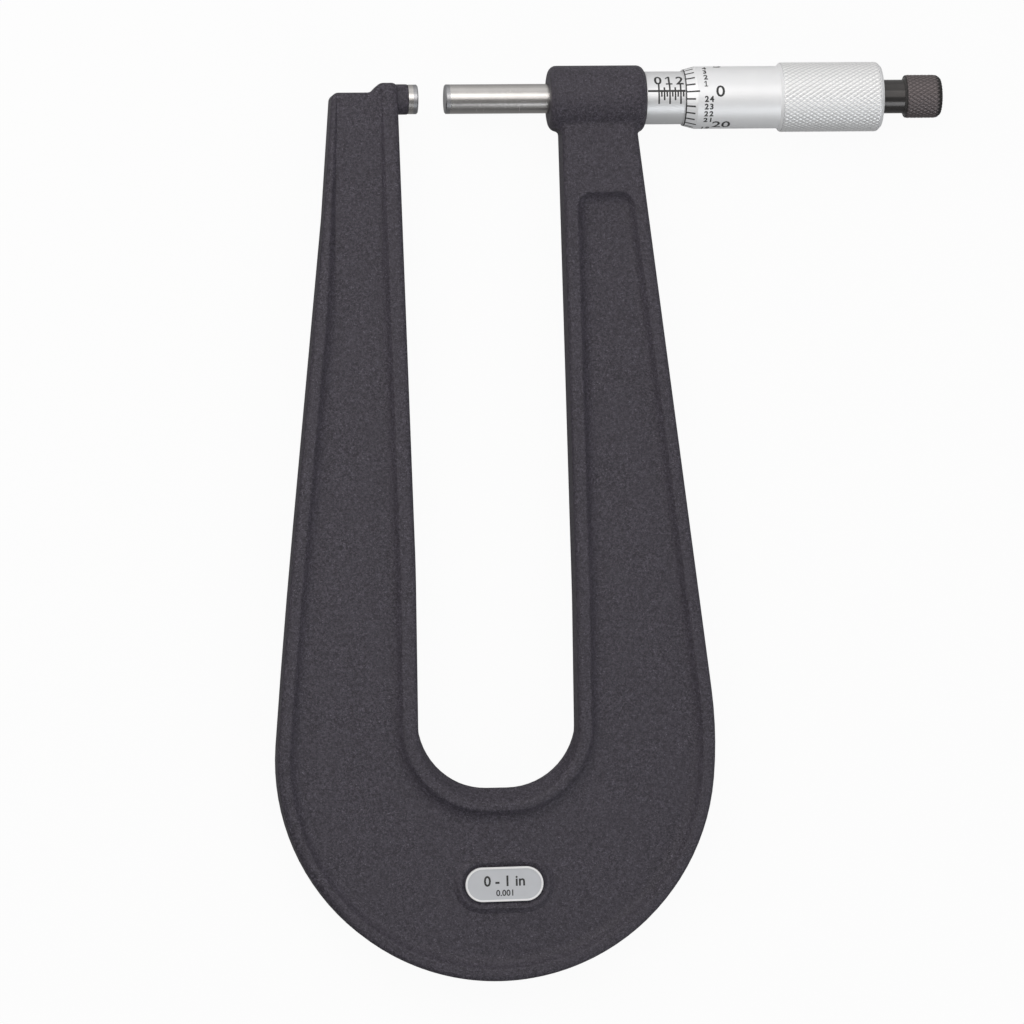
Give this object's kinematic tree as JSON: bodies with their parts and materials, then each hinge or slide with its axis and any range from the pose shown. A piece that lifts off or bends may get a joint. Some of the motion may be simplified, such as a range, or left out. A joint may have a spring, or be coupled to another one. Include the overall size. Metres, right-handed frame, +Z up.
{
  "type": "sheet metal micrometer",
  "caption": "Deep-throat outside micrometer that reaches far in from a sheet's edge, with a U-shaped forged frame, graduated sleeve and thimble, and a ratchet stop.",
  "frame": {"origin": "centre of the anvil's measuring face", "axes": "+X along the spindle from the anvil to the thimble, +Y away from the throat, +Z up out of the face with the badge; the micrometer lies on its back"},
  "size_m": [0.1572, 0.2109, 0.0158],
  "materials": {
    "wrinkle_black": "black wrinkle enamel on a forging",
    "ground_steel": "ground and lapped",
    "carbide": "lapped hard metal",
    "satin_chrome": "satin chrome",
    "black_oxide": "polished black oxide",
    "spring_steel": "plain wire",
    "badge_plate": "satin plate with a bright rim"
  },
  "bodies": {
    "frame_body": {"frame": "wrinkle_black", "anvil": "ground_steel", "anvil_tip": "carbide", "inner_sleeve": "ground_steel", "adjusting_nut": "ground_steel", "badge": "badge_plate"},
    "sleeve_body": {"sleeve": "satin_chrome"},
    "screw_travel": {"ratchet_spring": "spring_steel"},
    "spindle_set": {"spindle": "ground_steel", "spindle_tip": "carbide", "thimble": "satin_chrome", "ratchet_body": "black_oxide", "ratchet_screw": "black_oxide"},
    "knob_body": {"ratchet_knob": "black_oxide"},
    "clutch_body": {"ratchet_clutch": "ground_steel"}
  },
  "joints": [
    {"name": "sleeve_turn", "type": "hinge", "parent": "frame_body", "child": "sleeve_body", "pos_m": [0.067, 0, 0], "axis": [1, 0, 0], "continuous": true},
    {"name": "spindle_travel", "type": "slide", "parent": "frame_body", "child": "screw_travel", "axis": [1, 0, 0], "range_m": [-0.00635, 0.01905]},
    {"name": "thimble_turn", "type": "hinge", "parent": "screw_travel", "child": "spindle_set", "pos_m": [0.08, 0, 0], "axis": [1, 0, 0], "range_deg": [-3606, 10806]},
    {"name": "ratchet_turn", "type": "hinge", "parent": "spindle_set", "child": "knob_body", "pos_m": [0.116, 0, 0], "axis": [1, 0, 0], "continuous": true},
    {"name": "clutch_click", "type": "slide", "parent": "knob_body", "child": "clutch_body", "axis": [1, 0, 0], "range_m": [0, 0.00045], "stiffness_N_per_m": 50, "deforming": ["ratchet_spring"]}
  ],
  "couplings": [
    {"joint": "thimble_turn", "follows": "spindle_travel", "rad_per_m": 9894.8}
  ]
}
